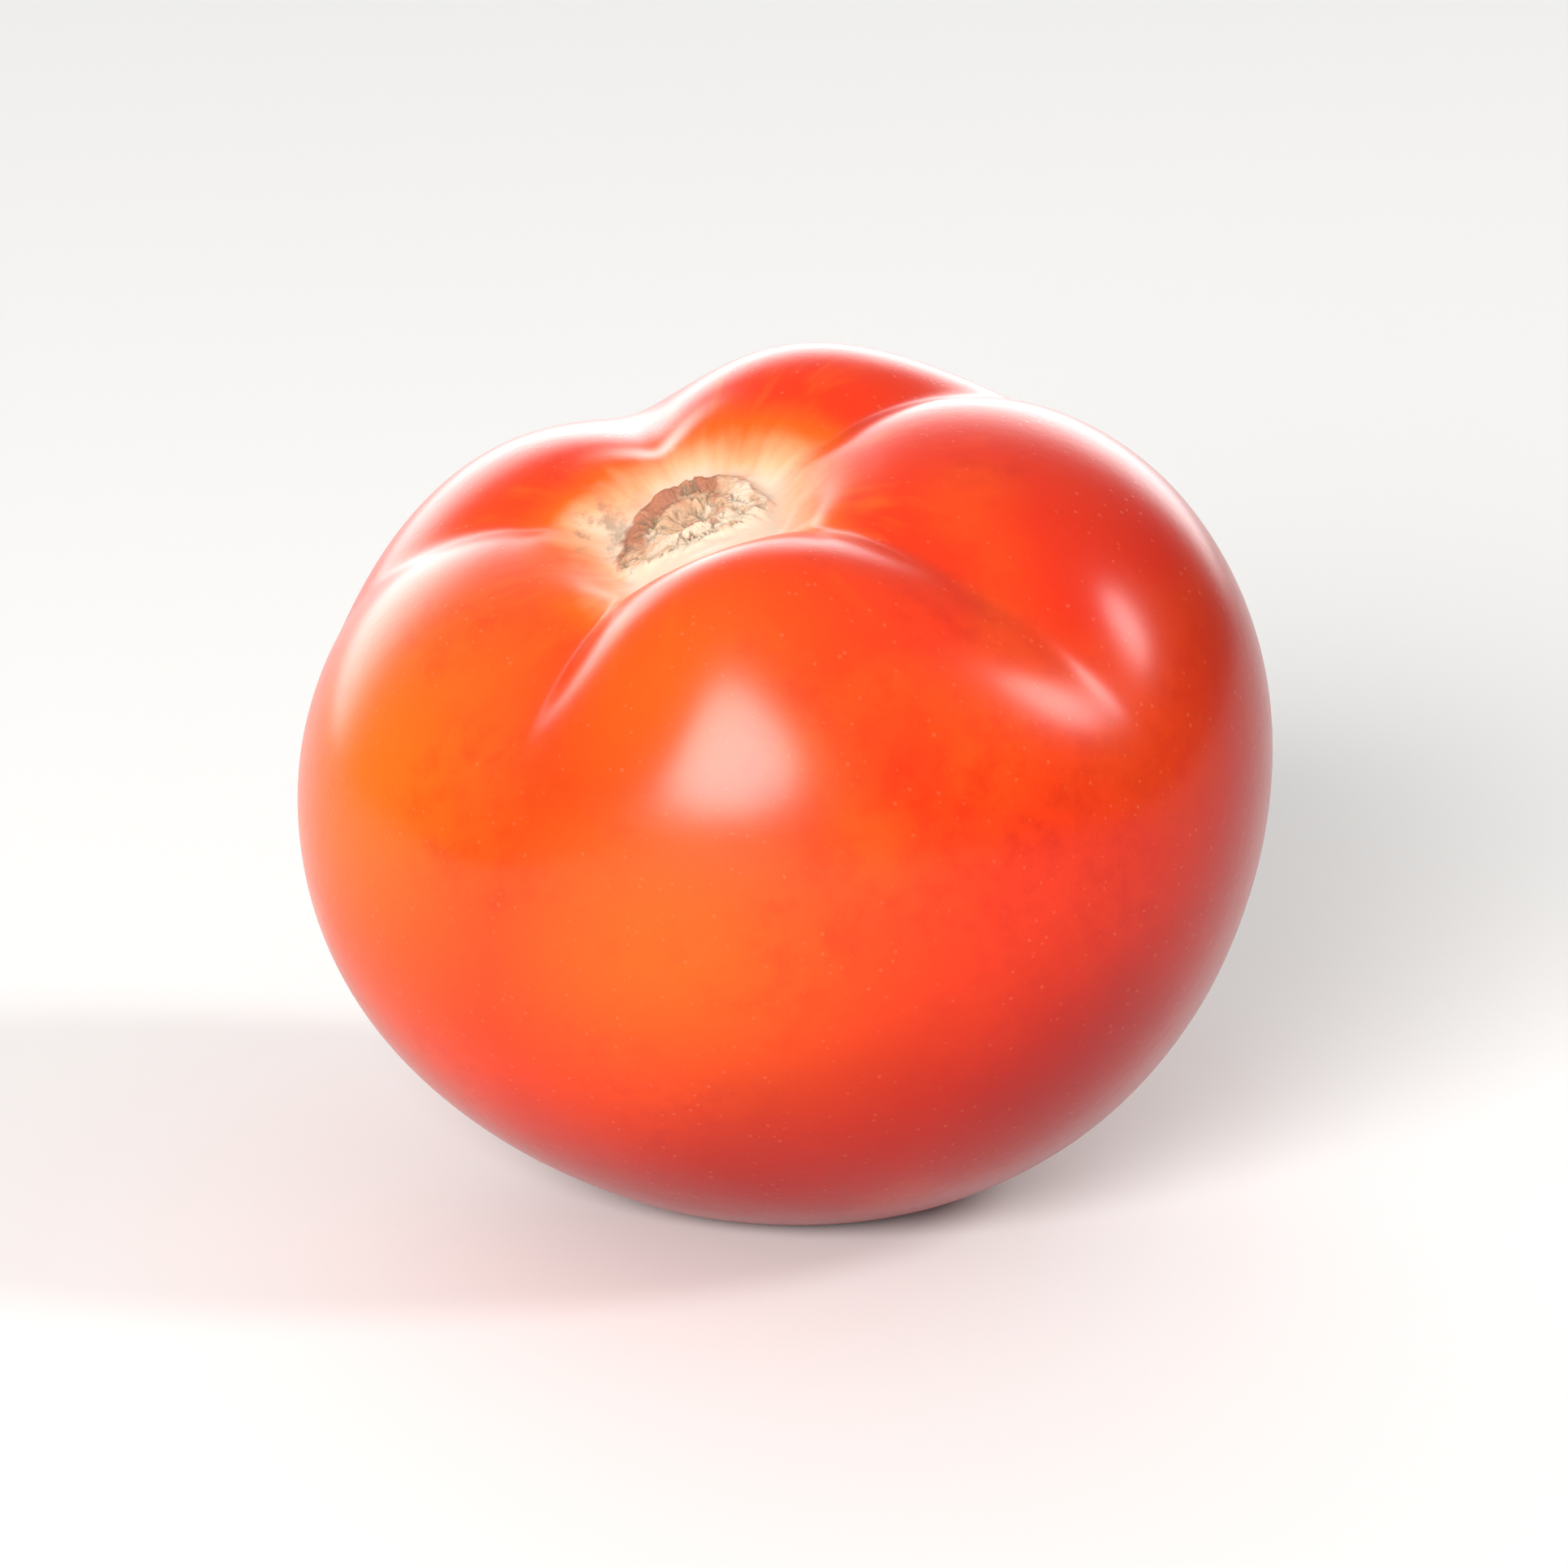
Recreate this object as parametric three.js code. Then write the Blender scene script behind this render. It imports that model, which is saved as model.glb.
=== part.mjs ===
// A ribbed slicing tomato as picked. Its stalk has snapped off and left a round scar at the bottom of a
// hollow, and furrows between five rounded shoulders run out of that hollow and fade on the sides. The fruit
// leans over and rests on a small flat spot. It grew as one piece, so it is one solid.
// Millimetres, +Z up. The origin is on the resting surface, under the middle of the fruit.

import * as THREE from "three";
import { mergeVertices } from "three/addons/utils/BufferGeometryUtils.js";

// The body before its hollow, furrows and swellings, measured from its middle
const SIDE_RADIUS = 37.8;
const TOP_HEIGHT = 36.4;
const BOTTOM_DEPTH = 37.2;

// The hollow around the stem scar. Its spread is the angle from the stem axis at which it is half as deep.
const HOLLOW_DEPTH = 12;
const HOLLOW_SPREAD = 0.38;
const HOLLOW_STEEPNESS = 7;

// A furrow starts beside the scar, is deepest on the rim of the hollow and fades where its reach ends.
const FURROW_START = 0.2;
const FURROW_DEEPEST = 0.55;
const FURROW_SOFTNESS = 1.4;
const FURROWS = [
  { name: "front left", azimuth: -129, depth: 6, width: 8, reach: 1.2 },
  { name: "right front", azimuth: -35, depth: 4.6, width: 8, reach: 1.7 },
  { name: "right back", azimuth: 36, depth: 6.5, width: 8, reach: 1.4 },
  { name: "back", azimuth: 102, depth: 8, width: 13, reach: 1.4 },
  { name: "left", azimuth: 157, depth: 4, width: 8, reach: 1.35 },
];

// Where the fruit is fuller, or flatter, than a plain ball. Angles are in degrees, the spread in radians.
const SWELLINGS = [
  { name: "front shoulder", polar: 28, azimuth: -80, spread: 0.3, height: 2.7 },
  { name: "right shoulder", polar: 32, azimuth: -6, spread: 0.35, height: -2 },
  { name: "back shoulder", polar: 35, azimuth: 61, spread: 0.4, height: 1.9 },
  { name: "back left shoulder", polar: 35, azimuth: 128, spread: 0.4, height: 1.2 },
  { name: "left shoulder", polar: 32, azimuth: -166, spread: 0.35, height: -1.4 },
  { name: "right cheek", polar: 85, azimuth: -6, spread: 0.6, height: 2.5 },
  { name: "back cheek", polar: 85, azimuth: 61, spread: 0.6, height: -0.9 },
  { name: "back left cheek", polar: 85, azimuth: 128, spread: 0.6, height: 4.6 },
  { name: "left cheek", polar: 85, azimuth: -166, spread: 0.6, height: 2.7 },
  { name: "lower front", polar: 120, azimuth: -52, spread: 0.7, height: 2.1 },
];

// How the fruit lies: the stem end leans over in this direction, and its own weight flattens the underside.
const LEAN = 24;
const LEAN_AZIMUTH = -137;
const SOLE_DEPTH = 1.5;
const SOLE_ROUNDING = 0.4;

// Facets of the skin
const MERIDIANS = 72;
const RINGS = 42;

const SKIN = new THREE.MeshStandardMaterial({ name: "skin", color: "#e63a1c", roughness: 0.3 });

const { degToRad, smoothstep } = THREE.MathUtils;

// The unit vector at a polar angle from the stem axis and an azimuth around it, both in radians.
function direction(polar, azimuth) {
  return new THREE.Vector3(
    Math.sin(polar) * Math.cos(azimuth),
    Math.sin(polar) * Math.sin(azimuth),
    Math.cos(polar),
  );
}

// How far the plain ball's surface is from its middle.
function ballRadius(polar) {
  const height = polar < Math.PI / 2 ? TOP_HEIGHT : BOTTOM_DEPTH;
  return 1 / Math.hypot(Math.sin(polar) / SIDE_RADIUS, Math.cos(polar) / height);
}

// How deep one furrow is at a point: a soft crease across, and a rise and fall along its meridian.
function furrowDepth(furrow, polar, azimuth) {
  const turn = azimuth - degToRad(furrow.azimuth);
  const across = Math.abs(2 * Math.sin(turn / 2)) * ballRadius(polar) * Math.sin(polar);
  const offset = Math.hypot(across, FURROW_SOFTNESS) - FURROW_SOFTNESS;
  const rise = smoothstep(polar, FURROW_START, FURROW_DEEPEST);
  const fall = 1 - smoothstep(polar, FURROW_DEEPEST, furrow.reach);
  return furrow.depth * Math.exp(-offset / furrow.width) * rise * fall;
}

// How far one swelling stands out at a point.
function swellingHeight(swelling, polar, azimuth) {
  const middle = direction(degToRad(swelling.polar), degToRad(swelling.azimuth));
  const angle = direction(polar, azimuth).angleTo(middle);
  return swelling.height * Math.exp(-((angle / swelling.spread) ** 2));
}

function skinRadius(polar, azimuth) {
  const hollow = HOLLOW_DEPTH / (1 + (polar / HOLLOW_SPREAD) ** HOLLOW_STEEPNESS);
  const furrows = FURROWS.reduce((sum, furrow) => sum + furrowDepth(furrow, polar, azimuth), 0);
  const swellings = SWELLINGS.reduce((sum, swelling) => sum + swellingHeight(swelling, polar, azimuth), 0);
  return ballRadius(polar) - hollow - furrows + swellings;
}

// A height above the resting surface. What would be below it is pressed flat, and the flat spot's edge is
// rounded.
function pressedHeight(height) {
  if (height <= -SOLE_ROUNDING) return 0;
  if (height >= SOLE_ROUNDING) return height;
  return (height + SOLE_ROUNDING) ** 2 / (4 * SOLE_ROUNDING);
}

function tomatoGeometry() {
  const ball = new THREE.SphereGeometry(1, MERIDIANS, RINGS).rotateX(Math.PI / 2);
  ball.deleteAttribute("normal");
  ball.deleteAttribute("uv");
  const geometry = mergeVertices(ball);
  const skin = geometry.attributes.position;
  const point = new THREE.Vector3();

  // The upright fruit, its stem axis along +Z
  for (let i = 0; i < skin.count; i++) {
    point.fromBufferAttribute(skin, i).normalize();
    point.multiplyScalar(skinRadius(Math.acos(point.z), Math.atan2(point.y, point.x)));
    skin.setXYZ(i, point.x, point.y, point.z);
  }

  // Laid over, then set down on its flat spot
  const leanAxis = direction(Math.PI / 2, degToRad(LEAN_AZIMUTH + 90));
  geometry.applyQuaternion(new THREE.Quaternion().setFromAxisAngle(leanAxis, degToRad(LEAN)));
  geometry.computeBoundingBox();
  const middle = geometry.boundingBox.getCenter(new THREE.Vector3());
  const surface = geometry.boundingBox.min.z + SOLE_DEPTH;
  for (let i = 0; i < skin.count; i++) {
    point.fromBufferAttribute(skin, i);
    skin.setXYZ(i, point.x - middle.x, point.y - middle.y, pressedHeight(point.z - surface));
  }
  geometry.computeVertexNormals();
  return geometry;
}

const tomato = new THREE.Mesh(tomatoGeometry(), SKIN);
tomato.name = "tomato";

const fruit = new THREE.Group();
fruit.add(tomato);

export default fruit;
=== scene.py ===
# A ripe slicing tomato, its stalk gone, that leans over and rests on a small flat spot on a pale floor.
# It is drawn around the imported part, in metres. Angles round the stem axis start at +X, as in the part.

import math

import bpy
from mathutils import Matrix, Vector


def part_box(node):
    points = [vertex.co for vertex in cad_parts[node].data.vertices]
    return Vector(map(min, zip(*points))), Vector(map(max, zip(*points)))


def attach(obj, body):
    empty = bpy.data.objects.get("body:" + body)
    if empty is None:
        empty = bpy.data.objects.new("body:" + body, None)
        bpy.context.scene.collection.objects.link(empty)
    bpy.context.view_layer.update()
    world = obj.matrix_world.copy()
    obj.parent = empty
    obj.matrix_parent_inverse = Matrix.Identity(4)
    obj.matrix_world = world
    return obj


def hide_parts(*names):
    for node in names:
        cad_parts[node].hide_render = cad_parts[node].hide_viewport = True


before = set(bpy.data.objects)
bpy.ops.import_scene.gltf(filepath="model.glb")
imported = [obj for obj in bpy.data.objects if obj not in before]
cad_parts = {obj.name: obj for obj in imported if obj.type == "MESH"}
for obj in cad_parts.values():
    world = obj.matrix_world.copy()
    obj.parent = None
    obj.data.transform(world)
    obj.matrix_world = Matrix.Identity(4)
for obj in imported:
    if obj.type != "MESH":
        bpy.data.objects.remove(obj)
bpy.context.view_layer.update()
MM = 0.001


# The camera
# A long lens looks at the middle of the fruit along +Y, from a little above, as in the photograph.

CAMERA_ELEVATION = math.radians(17)
CAMERA_DISTANCE = 0.9
FRUIT_SHARE_OF_WIDTH = 0.62

lowest, highest = (Vector(corner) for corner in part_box("tomato"))
fruit_middle = (lowest + highest) / 2
view_width = (highest.x - lowest.x) / FRUIT_SHARE_OF_WIDTH

lens = bpy.data.cameras.new("camera")
lens.lens = lens.sensor_width * CAMERA_DISTANCE / view_width
camera = bpy.data.objects.new("camera", lens)
camera.location = fruit_middle + CAMERA_DISTANCE * Vector(
    (0, -math.cos(CAMERA_ELEVATION), math.sin(CAMERA_ELEVATION))
)
camera.rotation_euler = (math.pi / 2 - CAMERA_ELEVATION, 0, 0)
bpy.context.collection.objects.link(camera)
bpy.context.scene.camera = camera


# The tomato
# One fruit of waxy skin over flesh. Rounded shoulders stand round the hollow where the stalk sat, furrows
# run out between them, and a tan cork scar closes the middle. A brown dot marks the blossom end below.
# Geometry nodes raise the whole surface from a sphere by the part's own rule, with finer relief.

# The plain ball and its hollow
SIDE_RADIUS = 37.8 * MM
TOP_HEIGHT = 36.4 * MM
BOTTOM_DEPTH = 37.2 * MM
HOLLOW_DEPTH = 12 * MM
HOLLOW_SPREAD = 0.38
HOLLOW_STEEPNESS = 7.0

# The furrows, which lie in these directions in degrees and reach to these polar angles
FURROW_START = 0.2
FURROW_DEEPEST = 0.55
FURROW_SOFTNESS = 1.4 * MM
FURROWS = [
    {"Direction": -129, "Depth": 6 * MM, "Width": 8 * MM, "Reach": 1.2},
    {"Direction": -35, "Depth": 4.6 * MM, "Width": 8 * MM, "Reach": 1.7},
    {"Direction": 36, "Depth": 6.5 * MM, "Width": 8 * MM, "Reach": 1.4},
    {"Direction": 102, "Depth": 8 * MM, "Width": 13 * MM, "Reach": 1.4},
    {"Direction": 157, "Depth": 4 * MM, "Width": 8 * MM, "Reach": 1.35},
]

# The polar angle and azimuth of each swelling in degrees, its spread in radians and its height
SWELLINGS = {
    "front shoulder": (28, -80, 0.3, 2.7 * MM),
    "right shoulder": (32, -6, 0.35, -2 * MM),
    "back shoulder": (35, 61, 0.4, 1.9 * MM),
    "back left shoulder": (35, 128, 0.4, 1.2 * MM),
    "left shoulder": (32, -166, 0.35, -1.4 * MM),
    "right cheek": (85, -6, 0.6, 2.5 * MM),
    "back cheek": (85, 61, 0.6, -0.9 * MM),
    "back left cheek": (85, 128, 0.6, 4.6 * MM),
    "left cheek": (85, -166, 0.6, 2.7 * MM),
    "lower front": (120, -52, 0.7, 2.1 * MM),
}

# How the fruit lies
LEAN = math.radians(24)
LEAN_DIRECTION = math.radians(-137)
SOLE_DEPTH = 1.5 * MM
SOLE_ROUNDING = 0.4 * MM

# Facets of the skin
MERIDIANS = 440
RINGS = 220
RING_CROWDING = 0.7

# What is finer than the part's solid
UNEVENNESS = 0.35 * MM
UNEVENNESS_SIZE = 22 * MM
SCAR_RADIUS = 6.4 * MM
SCAR_NARROWING = 1.3
SCAR_LENGTHWAYS = math.radians(20)
SCAR_SHIFT = 1.3 * MM
BLOSSOM_DOT_RADIUS = 1.3 * MM


class Flow:
    """A number or vector on its way through a node tree. Arithmetic on it adds the node that does it."""

    def __init__(self, tree, socket):
        self.tree = tree
        self.socket = socket

    def __add__(self, other):
        return calculate("ADD", self, other)

    def __radd__(self, other):
        return calculate("ADD", other, self)

    def __sub__(self, other):
        return calculate("SUBTRACT", self, other)

    def __rsub__(self, other):
        return calculate("SUBTRACT", other, self)

    def __mul__(self, other):
        return calculate("MULTIPLY", self, other)

    def __truediv__(self, other):
        return calculate("DIVIDE", self, other)

    def __rtruediv__(self, other):
        return calculate("DIVIDE", other, self)

    def __pow__(self, other):
        return calculate("POWER", self, other)


def feed(tree, socket, value):
    """Links a flow to a socket, or sets the socket to a plain value."""
    if isinstance(value, Flow):
        tree.links.new(value.socket, socket)
    else:
        socket.default_value = value


def add_node(tree, kind, inputs=None, **settings):
    """A new node with its settings made and its inputs, given by name or number, fed."""
    node = tree.nodes.new(kind)
    for name, value in settings.items():
        setattr(node, name, value)
    for name, value in (inputs or {}).items():
        feed(tree, node.inputs[name], value)
    return node


def calculate(operation, *values):
    """The flow of one Math node."""
    tree = next(value.tree for value in values if isinstance(value, Flow))
    node = add_node(tree, "ShaderNodeMath", dict(enumerate(values)), operation=operation)
    return Flow(tree, node.outputs[0])


def vector_sum(operation, *values):
    """The flow of one Vector Math node, such as ADD, SCALE or DOT_PRODUCT."""
    tree = next(value.tree for value in values if isinstance(value, Flow))
    node = add_node(tree, "ShaderNodeVectorMath", operation=operation)
    places = (0, 3) if operation == "SCALE" else range(len(values))
    for place, value in zip(places, values):
        feed(tree, node.inputs[place], value)
    number = operation in ("DOT_PRODUCT", "LENGTH", "DISTANCE")
    return Flow(tree, node.outputs["Value" if number else "Vector"])


def split(vector):
    """The x, y and z of a vector flow."""
    node = add_node(vector.tree, "ShaderNodeSeparateXYZ", {0: vector})
    return [Flow(vector.tree, output) for output in node.outputs]


def joined(x, y, z):
    """The vector flow of three numbers."""
    tree = next(value.tree for value in (x, y, z) if isinstance(value, Flow))
    node = add_node(tree, "ShaderNodeCombineXYZ", {0: x, 1: y, 2: z})
    return Flow(tree, node.outputs[0])


def smooth_rise(value, start, end):
    """0 up to start, 1 from end on, and a smooth rise between. With end below start it falls instead."""
    low, high = min(start, end), max(start, end)
    sides = (0.0, 1.0) if start < end else (1.0, 0.0)
    inputs = {"Value": value, "From Min": low, "From Max": high, "To Min": sides[0], "To Max": sides[1]}
    node = add_node(value.tree, "ShaderNodeMapRange", inputs, interpolation_type="SMOOTHSTEP")
    return Flow(value.tree, node.outputs["Result"])


def noise(place, size, detail=2.0, roughness=0.5):
    """Smooth noise from 0 to 1, around 0.5, whose lumps are about that size."""
    inputs = {"Vector": place, "Scale": 1 / size, "Detail": detail, "Roughness": roughness}
    node = add_node(place.tree, "ShaderNodeTexNoise", inputs)
    return Flow(place.tree, node.outputs[0])


def cell_distance(place, size):
    """How far a point is from the middle of its cell, in a pattern of irregular cells of about that size."""
    node = add_node(place.tree, "ShaderNodeTexVoronoi", {"Vector": place, "Scale": 1 / size})
    return Flow(place.tree, node.outputs["Distance"])


def new_group(name, kind, inputs, outputs):
    """An empty node group with those sockets, its inputs as flows by name and its output node."""
    tree = bpy.data.node_groups.new(name, kind)
    for socket_name, (socket_kind, value) in inputs.items():
        socket = tree.interface.new_socket(name=socket_name, in_out="INPUT", socket_type=socket_kind)
        if value is not None:
            socket.default_value = value
    for socket_name, socket_kind in outputs.items():
        tree.interface.new_socket(name=socket_name, in_out="OUTPUT", socket_type=socket_kind)
    source = tree.nodes.new("NodeGroupInput")
    flows = {name: Flow(tree, source.outputs[name]) for name in inputs}
    return tree, flows, tree.nodes.new("NodeGroupOutput")


NUMBER = "NodeSocketFloat"
VECTOR = "NodeSocketVector"


def furrow_group():
    """How deep one furrow is at a point of the skin, and how close to its middle line the point lies."""
    names = ("Polar", "Azimuth", "Ball", "Direction", "Depth", "Width", "Reach")
    inputs = {name: (NUMBER, 0.0) for name in names}
    outputs = {"Depth": NUMBER, "Crease": NUMBER}
    tree, value, result = new_group("furrow", "GeometryNodeTree", inputs, outputs)
    turn = value["Azimuth"] - value["Direction"]
    across = calculate("ABSOLUTE", calculate("SINE", turn / 2)) * 2 * value["Ball"]
    across = across * calculate("SINE", value["Polar"])
    offset = (across**2.0 + FURROW_SOFTNESS**2) ** 0.5 - FURROW_SOFTNESS
    crease = calculate("EXPONENT", 0 - offset / value["Width"])
    rise = smooth_rise(value["Polar"], FURROW_START, FURROW_DEEPEST)
    past = (value["Polar"] - FURROW_DEEPEST) / (value["Reach"] - FURROW_DEEPEST)
    fall = smooth_rise(past, 1, 0)
    feed(tree, result.inputs["Depth"], value["Depth"] * crease * rise * fall)
    feed(tree, result.inputs["Crease"], crease * fall)
    return tree


def swelling_group():
    """How far one broad swelling stands out at a point of the skin."""
    inputs = {
        "Way": (VECTOR, None),
        "Middle": (VECTOR, None),
        "Spread": (NUMBER, 1.0),
        "Height": (NUMBER, 0.0),
    }
    tree, value, result = new_group("swelling", "GeometryNodeTree", inputs, {"Height": NUMBER})
    angle = calculate("ARCCOSINE", vector_sum("DOT_PRODUCT", value["Way"], value["Middle"]))
    bell = calculate("EXPONENT", 0 - (angle / value["Spread"]) ** 2.0)
    feed(tree, result.inputs["Height"], value["Height"] * bell)
    return tree


def bell(value, middle, width):
    """1 where the value is at the middle, falling away to both sides."""
    return calculate("EXPONENT", 0 - ((value - middle) / width) ** 2.0)


def streaks(x, y, from_axis, closeness):
    """Noise from 0 to 1 in long streaks that run out from the stem axis."""
    outward = joined(x / from_axis * closeness, y / from_axis * closeness, from_axis / (10 * MM))
    return noise(outward, 1.0, 3.0)


def scar_group():
    """The cork of the oval stem scar: its relief, and where the cork and its cracks are."""
    inputs = {"Place": (VECTOR, None), "Radius": (NUMBER, SCAR_RADIUS)}
    outputs = {"Relief": NUMBER, "Cork": NUMBER, "Crack": NUMBER}
    tree, value, result = new_group("stem scar", "GeometryNodeTree", inputs, outputs)
    x, y, _ = split(value["Place"])
    flat_place = joined(x, y, 0.0)
    along = x * math.cos(SCAR_LENGTHWAYS) + y * math.sin(SCAR_LENGTHWAYS)
    across = y * math.cos(SCAR_LENGTHWAYS) - x * math.sin(SCAR_LENGTHWAYS) - SCAR_SHIFT
    from_middle = (along**2.0 + (across * SCAR_NARROWING) ** 2.0) ** 0.5
    ragged = from_middle + (noise(flat_place, 5 * MM, 4) - 0.5) * (5 * MM)
    cork = smooth_rise((ragged - value["Radius"]) / MM, 0.25, -0.25)
    bend = vector_sum("SCALE", noise_vector(flat_place, 2.5 * MM), 1.2 * MM)
    bent = vector_sum("ADD", flat_place, bend)
    web = calculate("ABSOLUTE", noise(bent, 2.0 * MM, 3.0, 0.6) - 0.5)
    crack = smooth_rise(web, 0.05, 0.0) * smooth_rise(noise(flat_place, 3 * MM), 0.36, 0.56) * cork
    lip = bell(ragged, value["Radius"] - 0.4 * MM, 0.9 * MM) * (noise(flat_place, 2.0 * MM) * 1.1)
    grain = (noise(flat_place, 0.9 * MM, 4, 0.65) - 0.5) * 0.6
    spokes = (streaks(along, across, from_middle, 2.5) - 0.5) * smooth_rise(from_middle / MM, 1.5, 4.5) * 0.7
    ring = bell(ragged, 2.9 * MM, 0.7 * MM) * 0.35
    crater = smooth_rise(ragged / MM, 2.6, 1.0) * -0.6
    relief = (grain + spokes + ring + crater - crack * 0.4) * cork + lip
    feed(tree, result.inputs["Relief"], relief * MM)
    feed(tree, result.inputs["Cork"], cork)
    feed(tree, result.inputs["Crack"], crack)
    return tree


def noise_vector(place, size):
    """Noise with a separate value for each axis, around 0, for bending a pattern."""
    node = add_node(place.tree, "ShaderNodeTexNoise", {"Vector": place, "Scale": 1 / size})
    return vector_sum("SUBTRACT", Flow(place.tree, node.outputs["Color"]), (0.5, 0.5, 0.5))


def way(polar, azimuth):
    """The unit vector at a polar angle and an azimuth in radians."""
    flat = math.sin(polar)
    return Vector((flat * math.cos(azimuth), flat * math.sin(azimuth), math.cos(polar)))


def group_flows(tree, group, **values):
    """A node that uses the group, with its inputs fed, as flows by output name."""
    node = add_node(tree, "GeometryNodeGroup", node_tree=group)
    for name, value in values.items():
        feed(tree, node.inputs[name], value)
    return {output.name: Flow(tree, output) for output in node.outputs}


def store(tree, geometry, name, kind, value):
    """Keeps a value on every vertex under that name, for the skin's material."""
    inputs = {"Geometry": geometry, "Name": name, "Value": value}
    node = add_node(tree, "GeometryNodeStoreNamedAttribute", inputs, data_type=kind, domain="POINT")
    return Flow(tree, node.outputs["Geometry"])


def tomato_tree(skin_material):
    """The node tree that grows the whole fruit."""
    inputs = {
        "Side radius": (NUMBER, SIDE_RADIUS),
        "Top height": (NUMBER, TOP_HEIGHT),
        "Bottom depth": (NUMBER, BOTTOM_DEPTH),
        "Hollow depth": (NUMBER, HOLLOW_DEPTH),
        "Hollow spread": (NUMBER, HOLLOW_SPREAD),
        "Hollow steepness": (NUMBER, HOLLOW_STEEPNESS),
        "Scar radius": (NUMBER, SCAR_RADIUS),
        "Unevenness": (NUMBER, UNEVENNESS),
        "Lean": (NUMBER, LEAN),
        "Sole depth": (NUMBER, SOLE_DEPTH),
    }
    tree, size, result = new_group("tomato", "GeometryNodeTree", inputs, {"Geometry": "NodeSocketGeometry"})
    ball_mesh = add_node(
        tree, "GeometryNodeMeshUVSphere", {"Segments": MERIDIANS, "Rings": RINGS, "Radius": 1.0}
    )
    place = Flow(tree, tree.nodes.new("GeometryNodeInputPosition").outputs[0])

    # Rings crowd together at the stem and blossom ends, where the detail is.
    x, y, z = split(place)
    even = calculate("ARCCOSINE", z)
    polar = even - calculate("SINE", even * 2) * (RING_CROWDING / 2)
    azimuth = calculate("ARCTAN2", y, x)
    flat = calculate("SINE", polar)
    up = calculate("COSINE", polar)
    heading = joined(flat * calculate("COSINE", azimuth), flat * calculate("SINE", azimuth), up)

    # The plain ball, its hollow, furrows and swellings
    upper = calculate("GREATER_THAN", up, 0.0)
    height = size["Bottom depth"] + (size["Top height"] - size["Bottom depth"]) * upper
    ball = 1 / ((flat / size["Side radius"]) ** 2.0 + (up / height) ** 2.0) ** 0.5
    radius = ball - size["Hollow depth"] / (1 + (polar / size["Hollow spread"]) ** size["Hollow steepness"])
    furrow = furrow_group()
    crease = polar * 0
    for sizes in FURROWS:
        sizes = {**sizes, "Direction": math.radians(sizes["Direction"])}
        one = group_flows(tree, furrow, Polar=polar, Azimuth=azimuth, Ball=ball, **sizes)
        radius = radius - one["Depth"]
        crease = calculate("MAXIMUM", crease, one["Crease"])
    swelling = swelling_group()
    for polar_angle, azimuth_angle, spread, height_out in SWELLINGS.values():
        middle = way(math.radians(polar_angle), math.radians(azimuth_angle))
        one = group_flows(tree, swelling, Way=heading, Middle=middle, Spread=spread, Height=height_out)
        radius = radius + one["Height"]

    # Finer relief: a slight unevenness, the cork scar, and the puckered blossom end
    body_place = vector_sum("SCALE", heading, radius)
    radius = radius + (noise(body_place, UNEVENNESS_SIZE, 1.0) - 0.5) * size["Unevenness"]
    scar = group_flows(tree, scar_group(), Place=body_place, Radius=size["Scar radius"])
    above = smooth_rise(up, 0.5, 0.7)
    radius = radius + scar["Relief"] * above
    from_blossom = (math.pi - polar) * BOTTOM_DEPTH / MM
    dimple = bell(from_blossom, 0.0, 2.6) * -0.5 + bell(from_blossom, 0.0, 0.6) * 0.4
    radius = radius + dimple * MM
    fruit_place = vector_sum("SCALE", heading, radius)

    geometry = Flow(tree, ball_mesh.outputs["Mesh"])
    geometry = store(tree, geometry, "fruit_place", "FLOAT_VECTOR", fruit_place)
    geometry = store(tree, geometry, "crease", "FLOAT", crease)
    geometry = store(tree, geometry, "cork", "FLOAT", scar["Cork"] * above)
    geometry = store(tree, geometry, "crack", "FLOAT", scar["Crack"] * above)

    # Laid over
    lean_axis = way(math.pi / 2, LEAN_DIRECTION + math.pi / 2)
    turn = {"Vector": fruit_place, "Axis": lean_axis, "Angle": size["Lean"]}
    turned = add_node(tree, "ShaderNodeVectorRotate", turn)
    lay = add_node(tree, "GeometryNodeSetPosition", {"Geometry": geometry})
    feed(tree, lay.inputs["Position"], Flow(tree, turned.outputs[0]))
    laid = Flow(tree, lay.outputs[0])

    # Set down: pressed flat where it rests, with the edge of the flat spot rounded
    box = add_node(tree, "GeometryNodeBoundBox", {"Geometry": laid})
    box_low = Flow(tree, box.outputs["Min"])
    box_high = Flow(tree, box.outputs["Max"])
    box_middle = vector_sum("SCALE", vector_sum("ADD", box_low, box_high), 0.5)
    left, back, _ = split(box_middle)
    surface = split(box_low)[2] + size["Sole depth"]
    x, y, z = split(place)
    rise = z - surface
    rounded = (calculate("MAXIMUM", rise + SOLE_ROUNDING, 0.0) ** 2.0) / (4 * SOLE_ROUNDING)
    clear = calculate("GREATER_THAN", rise, SOLE_ROUNDING)
    pressed = rounded + (rise - rounded) * clear
    put = add_node(tree, "GeometryNodeSetPosition", {"Geometry": laid})
    feed(tree, put.inputs["Position"], joined(x - left, y - back, pressed))

    smooth = add_node(tree, "GeometryNodeSetShadeSmooth", {"Geometry": Flow(tree, put.outputs[0])})
    real = add_node(tree, "GeometryNodeRealizeInstances", {"Geometry": Flow(tree, smooth.outputs[0])})
    painted = add_node(tree, "GeometryNodeSetMaterial", {"Geometry": Flow(tree, real.outputs[0])})
    painted.inputs["Material"].default_value = skin_material
    feed(tree, result.inputs["Geometry"], Flow(tree, painted.outputs[0]))
    return tree


def stored(tree, name, output):
    """A value that the shape keeps on the skin."""
    node = add_node(tree, "ShaderNodeAttribute", attribute_name=name, attribute_type="GEOMETRY")
    return Flow(tree, node.outputs[output])


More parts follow.
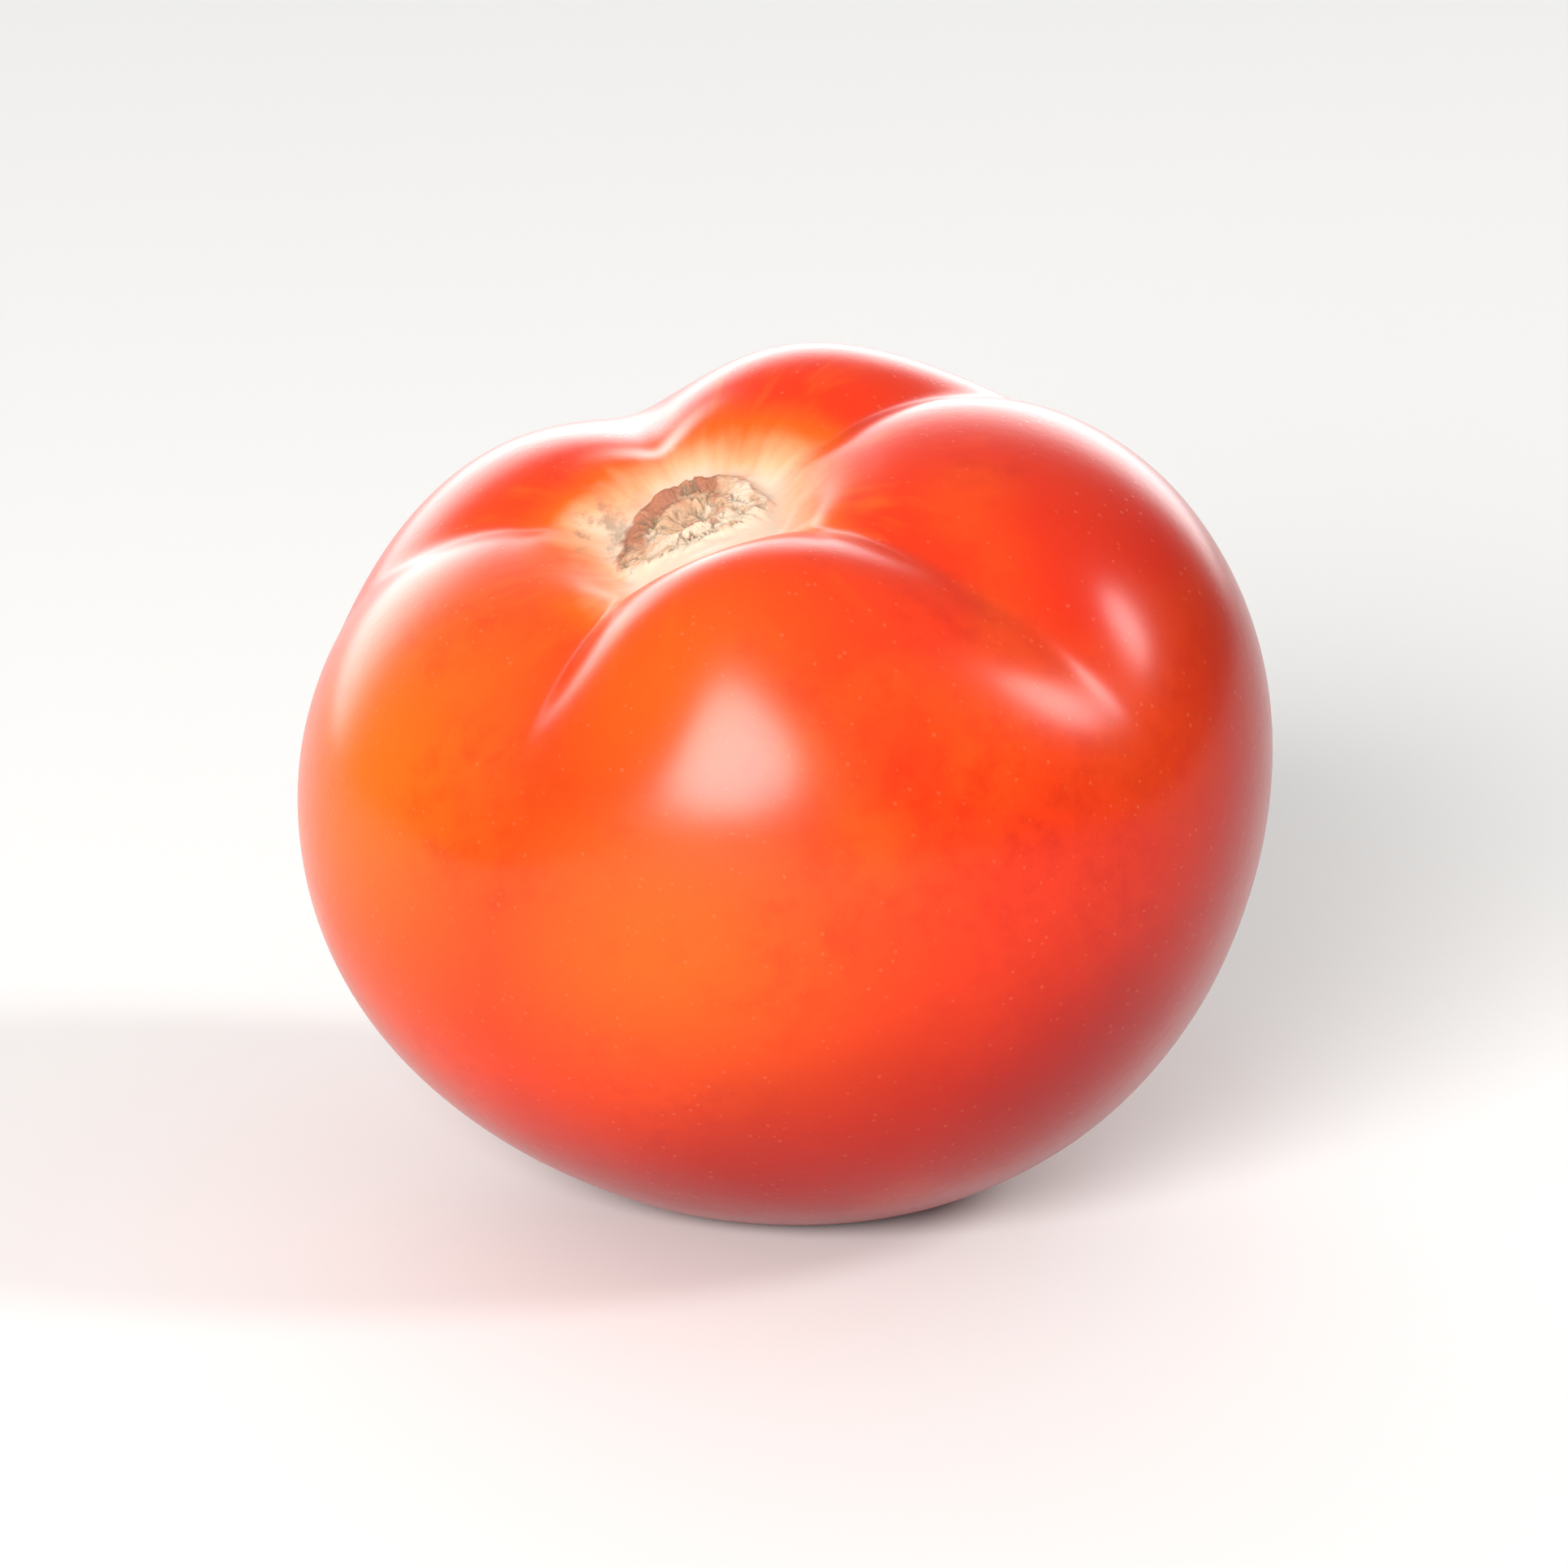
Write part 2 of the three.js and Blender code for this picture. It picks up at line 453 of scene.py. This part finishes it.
def mixed(share, first, second):
    """The second colour over the first, by a share from 0 to 1."""
    node = add_node(share.tree, "ShaderNodeMix", data_type="RGBA")
    feed(share.tree, node.inputs["Factor"], share)
    for name, colour in (("A", first), ("B", second)):
        socket = next(s for s in node.inputs if s.name == name and s.type == "RGBA")
        feed(share.tree, socket, colour)
    return Flow(share.tree, next(s for s in node.outputs if s.type == "RGBA"))


def paint(red, green, blue):
    """A linear colour from the 0 to 255 numbers of a colour picker."""
    channels = []
    for value in (red, green, blue):
        share = value / 255
        channels.append(share / 12.92 if share <= 0.04045 else ((share + 0.055) / 1.055) ** 2.4)
    return (*channels, 1.0)


ORANGE = paint(224, 94, 16)
RED = paint(208, 48, 12)
DEEP_RED = paint(148, 6, 3)
PEACH = paint(230, 154, 112)
CREAM = paint(212, 186, 164)
CORK_TAN = paint(196, 158, 128)
CORK_BROWN = paint(166, 110, 86)
CORK_GREY = paint(124, 108, 88)
BLOSSOM_BROWN = paint(110, 70, 40)
BROWN_SIDE = math.radians(125)

# The polar angle and azimuth of each patch in degrees, its spread in radians and its strength
# Orange patches where the front soft box falls: partly the skin's own orange, partly painted light.
ORANGE_AND_PAINTED_LIGHT_PATCHES = {
    "left shoulder": (60, -162, 0.5, 1.0),
    "front middle": (78, -104, 0.4, 0.7),
    "front shoulder": (42, -98, 0.35, 0.5),
}
# Painted shade: deeper red on the right side and the lower front.
PAINTED_SHADE_PATCHES = {
    "right side": (98, -3, 0.85, 0.9),
    "lower front": (126, -104, 0.55, 0.8),
}
MOTTLED_PATCH = (74, -58, 0.35, 0.35)
FLECKED_SIDE = (25, 152, 0.18, 0.8)


def patch_share(heading, polar, azimuth, spread, strength):
    """The share of a soft round patch of another colour, as strong as that at its middle."""
    middle = way(math.radians(polar), math.radians(azimuth))
    angle = calculate("ARCCOSINE", vector_sum("DOT_PRODUCT", heading, middle))
    return bell(angle, 0.0, spread) * strength


def tomato_material():
    """Waxy skin, red with orange patches that are partly painted light, deeper red at the blossom end that
    is partly painted shade, painted shade on the right and lower front, and pale round the cork scar.
    """
    material = bpy.data.materials.new("tomato_skin")
    material.use_nodes = True
    tree = material.node_tree
    shader = tree.nodes["Principled BSDF"]
    place = stored(tree, "fruit_place", "Vector")
    crease = stored(tree, "crease", "Fac")
    cork = stored(tree, "cork", "Fac")
    crack = stored(tree, "crack", "Fac")
    x, y, z = split(place)
    from_axis = (x * x + y * y) ** 0.5
    above = calculate("GREATER_THAN", z, 0.0)
    streaked = streaks(x, y, from_axis, 7) - 0.5
    heading = vector_sum("NORMALIZE", place)

    # The red of ripe skin, orange on some shoulders and deeper towards the blossom end. The orange is partly
    # painted light where the front soft box falls; the deeper red below is partly painted shade.
    drift = noise(place, 26 * MM, 2.0) - 0.5
    # Deeper red towards the bottom: partly the blossom end's riper red, partly painted shade of the
    # underside.
    skin = mixed(smooth_rise(z / (40 * MM) + drift, 0.1, -0.75), RED, DEEP_RED)
    orange = smooth_rise(drift, 0.02, 0.2) * 0.4
    # Orange patches, partly painted light on the side the front soft box lights.
    for patch in ORANGE_AND_PAINTED_LIGHT_PATCHES.values():
        orange = calculate("MAXIMUM", orange, patch_share(heading, *patch))
    skin = mixed(orange, skin, ORANGE)
    # Painted shade: the skin turns deeper red on the right side and the lower front.
    for patch in PAINTED_SHADE_PATCHES.values():
        skin = mixed(patch_share(heading, *patch), skin, DEEP_RED)
    orange_streak = smooth_rise(streaked, 0.02, 0.25) * smooth_rise(from_axis / MM, 30, 14) * above
    skin = mixed(orange_streak * 0.5, skin, ORANGE)

    # Fine dark mottling, closest in front on the right, and pale pores
    mottle = smooth_rise(noise(place, 2.4 * MM, 4.0, 0.65), 0.4, 0.68)
    mottled = smooth_rise(noise(place, 12 * MM), 0.4, 0.7) * 0.25
    mottled = calculate("MAXIMUM", mottled, patch_share(heading, *MOTTLED_PATCH))
    skin = mixed(mottle * mottled, skin, DEEP_RED)
    pore = smooth_rise(cell_distance(place, 1.1 * MM), 0.2, 0.08)
    pore = pore * smooth_rise(noise(place, 4 * MM), 0.35, 0.6)
    skin = mixed(pore * 0.1, skin, PEACH)

    # The pale star round the scar, which runs out along the furrows
    ragged = (noise(place, 6 * MM, 3.0) - 0.5) * 4 + streaked * 3
    star = from_axis / MM - crease * 4 + ragged
    skin = mixed(smooth_rise(star, 14.0, 8.0) * above * 0.8, skin, ORANGE)
    skin = mixed(smooth_rise(star, 10.0, 5.5) * above, skin, PEACH)
    skin = mixed(smooth_rise(star, 7.0, 3.0) * above, skin, CREAM)

    # Cork, cream to tan, browner on one side, with a net of grey-green cracks
    side = vector_sum("DOT_PRODUCT", heading, way(math.pi / 2, BROWN_SIDE)) * 4
    tan = smooth_rise(noise(place, 2.2 * MM, 4.0) + side * 0.2, 0.4, 0.62)
    brown = smooth_rise(noise(place, 2.8 * MM, 4.0) + side * 0.3, 0.52, 0.74)
    cork_colour = mixed(brown, mixed(tan, CREAM, CORK_TAN), CORK_BROWN)
    cork_colour = mixed(crack * 0.8, cork_colour, CORK_GREY)
    skin = mixed(cork, skin, cork_colour)

    # Stray flecks of cork beside the scar
    fleck = smooth_rise(noise(place, 2.0 * MM, 4.0, 0.6), 0.48, 0.64)
    fleck = fleck * smooth_rise(from_axis / MM, 13, 10) * patch_share(heading, *FLECKED_SIDE)
    skin = mixed(fleck, skin, CORK_GREY)

    from_blossom = from_axis + (noise(place, 1.5 * MM) - 0.5) * (1.2 * MM)
    dot = smooth_rise((from_blossom - BLOSSOM_DOT_RADIUS) / MM, 0.3, -0.3) * (1 - above)
    skin = mixed(dot, skin, BLOSSOM_BROWN)
    feed(tree, shader.inputs["Base Color"], skin)

    dry = calculate("MAXIMUM", cork, dot)
    roughness = 0.34 + (noise(place, 3 * MM) - 0.5) * 0.1 + dry * 0.5
    feed(tree, shader.inputs["Roughness"], roughness)
    feed(tree, shader.inputs["Coat Weight"], (1 - dry) * 0.75)
    shader.inputs["Coat Roughness"].default_value = 0.24
    shader.inputs["Coat IOR"].default_value = 1.36
    shader.inputs["IOR"].default_value = 1.45
    shader.inputs["Specular IOR Level"].default_value = 0.05
    shader.inputs["Subsurface Weight"].default_value = 0.25
    shader.inputs["Subsurface Radius"].default_value = (1.0, 0.25, 0.1)
    shader.inputs["Subsurface Scale"].default_value = 3 * MM

    # The skin's faint orange-peel texture and the cork's grain
    peel = noise(place, 1.1 * MM, 3.0, 0.6) * 0.035 - pore * 0.02
    grain = noise(place, 0.35 * MM, 3.0) * 0.25
    bump = add_node(tree, "ShaderNodeBump", {"Strength": 1.0, "Distance": MM})
    feed(tree, bump.inputs["Height"], peel * (1 - cork) + grain * cork)
    feed(tree, shader.inputs["Normal"], Flow(tree, bump.outputs[0]))
    return material


def grown(tree, name):
    """A plain mesh object of what the tree makes."""
    seed = bpy.data.objects.new(name + "_seed", bpy.data.meshes.new(name + "_seed"))
    bpy.context.collection.objects.link(seed)
    modifier = seed.modifiers.new("grow", "NODES")
    modifier.node_group = tree
    for item in tree.interface.items_tree:
        if item.in_out == "INPUT":
            modifier[item.identifier] = item.default_value
    graph = bpy.context.evaluated_depsgraph_get()
    grown_seed = seed.evaluated_get(graph)
    mesh = bpy.data.meshes.new_from_object(grown_seed, preserve_all_data_layers=True, depsgraph=graph)
    bpy.data.objects.remove(seed)
    mesh.name = name
    piece = bpy.data.objects.new(name, mesh)
    bpy.context.collection.objects.link(piece)
    return piece


tomato = grown(tomato_tree(tomato_material()), "tomato_fruit")
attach(tomato, "root")
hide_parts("tomato")


# The floor
# A plain matt sheet of pale studio paper, level with the flat spot. Far away the paper itself glows, a
# painted light in place of lamps, so that it stays as pale as the wall.

FLOOR_SIDE = 20.0
FAR_GLOW = 0.32

floor_mesh = bpy.data.meshes.new("floor")
corners = [(x * FLOOR_SIDE / 2, y * FLOOR_SIDE / 2, 0) for x, y in ((-1, -1), (1, -1), (1, 1), (-1, 1))]
floor_mesh.from_pydata(corners, [], [(0, 1, 2, 3)])
floor = bpy.data.objects.new("floor", floor_mesh)
bpy.context.collection.objects.link(floor)
paper = bpy.data.materials.new("paper")
paper.use_nodes = True
sheet = paper.node_tree.nodes["Principled BSDF"]
sheet.inputs["Base Color"].default_value = paint(224, 223, 221)
sheet.inputs["Roughness"].default_value = 0.9
sheet.inputs["Specular IOR Level"].default_value = 0.1
floor_place = Flow(paper.node_tree, paper.node_tree.nodes.new("ShaderNodeTexCoord").outputs["Object"])
far = smooth_rise(vector_sum("LENGTH", floor_place), 0.5, 2.5)
feed(paper.node_tree, sheet.inputs["Emission Strength"], far * FAR_GLOW)
floor_mesh.materials.append(paper)


# The light
# A large soft box in front, a narrow one at the right, and a white room that is brightest low behind the
# fruit. The camera sees the room as an evenly pale wall.

ROOM_FRONT = 0.12
ROOM_TOP = 0.5
ROOM_BACK = 4.2
BRIGHT_SIDE = math.radians(99)
WALL_BRIGHTNESS = 0.82
SOFT_BOXES = {
    "front": {"azimuth": -109, "elevation": 22, "distance": 2.0, "size": (1.25, 0.85), "power": 66},
    "right": {"azimuth": -6, "elevation": 36, "distance": 2.0, "size": (0.42, 0.66), "power": 15},
}

room = bpy.data.worlds.new("room")
room.use_nodes = True
sky = room.node_tree
outward = Flow(sky, sky.nodes.new("ShaderNodeTexCoord").outputs["Generated"])
behind = smooth_rise(vector_sum("DOT_PRODUCT", outward, way(math.pi / 2, BRIGHT_SIDE)), 0.66, 0.86)
height = split(outward)[2]
strength = ROOM_FRONT + smooth_rise(height, 0.2, 0.9) * (ROOM_TOP - ROOM_FRONT)
strength = strength + behind * smooth_rise(height, 0.85, 0.2) * ROOM_BACK
seen = Flow(sky, sky.nodes.new("ShaderNodeLightPath").outputs["Is Camera Ray"])
strength = strength + (WALL_BRIGHTNESS - strength) * seen
sky.nodes["Background"].inputs["Color"].default_value = (1, 1, 1, 1)
feed(sky, sky.nodes["Background"].inputs["Strength"], strength)
bpy.context.scene.world = room
for name, box in SOFT_BOXES.items():
    light = bpy.data.lights.new(name, "AREA")
    light.shape = "ELLIPSE"
    light.size, light.size_y = box["size"]
    light.energy = box["power"]
    lamp = bpy.data.objects.new(name, light)
    towards = way(math.radians(90 - box["elevation"]), math.radians(box["azimuth"]))
    lamp.location = fruit_middle + box["distance"] * towards
    lamp.rotation_euler = towards.to_track_quat("Z", "Y").to_euler()
    bpy.context.collection.objects.link(lamp)
bpy.context.scene.view_settings.view_transform = "Standard"
